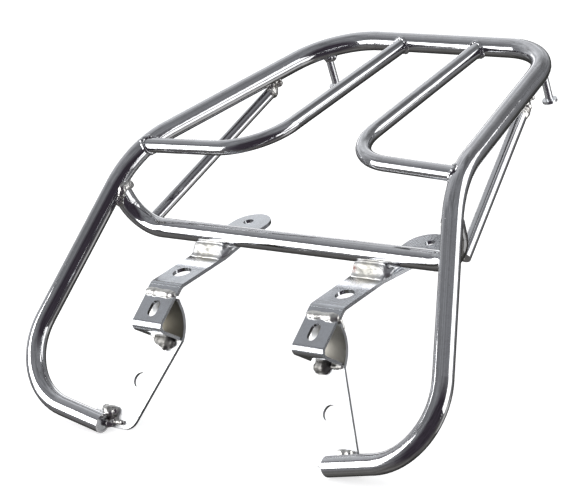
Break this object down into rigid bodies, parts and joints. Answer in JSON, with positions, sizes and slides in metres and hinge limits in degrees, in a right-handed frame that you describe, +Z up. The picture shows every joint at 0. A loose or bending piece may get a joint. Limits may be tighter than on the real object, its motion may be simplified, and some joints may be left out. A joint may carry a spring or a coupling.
{
  "type": "rear luggage rack",
  "caption": "Chromed tubular rear luggage rack for a small motorcycle, with inner bars, a cross tube, stays, cord posts and folded plate brackets.",
  "frame": {"origin": "midway between the two rear ear holes, on the underside (seat face) of the straps", "axes": "+X to the rack's right side seen from the front, +Y to the rear (tail) end, +Z up out of the platform"},
  "size_m": [0.4232, 0.3703, 0.197],
  "materials": {
    "chrome_tube": "bright plated",
    "chrome_plate": "plated sheet, softer shine",
    "weld_metal": "plated weld metal, lumpy"
  },
  "bodies": {
    "root": {"main_loop": "chrome_tube", "inner_bar_left": "chrome_tube", "inner_bar_right": "chrome_tube", "cross_tube": "chrome_tube", "stay_left": "chrome_tube", "stay_right": "chrome_tube", "post_left": "chrome_tube", "post_right": "chrome_tube", "post_buttons": "chrome_tube", "foot_plugs": "chrome_tube", "strap_left": "chrome_plate", "strap_right": "chrome_plate", "saddle_left": "weld_metal", "saddle_right": "weld_metal", "hook_left": "chrome_plate", "hook_right": "chrome_plate", "ramp_left": "chrome_plate", "ramp_right": "chrome_plate", "welds_bars": "weld_metal", "welds_cross": "weld_metal", "welds_stays": "weld_metal", "welds_posts": "weld_metal", "welds_hook_left": "weld_metal", "welds_hook_right": "weld_metal", "welds_foot_left": "weld_metal", "welds_foot_right": "weld_metal"}
  },
  "joints": []
}
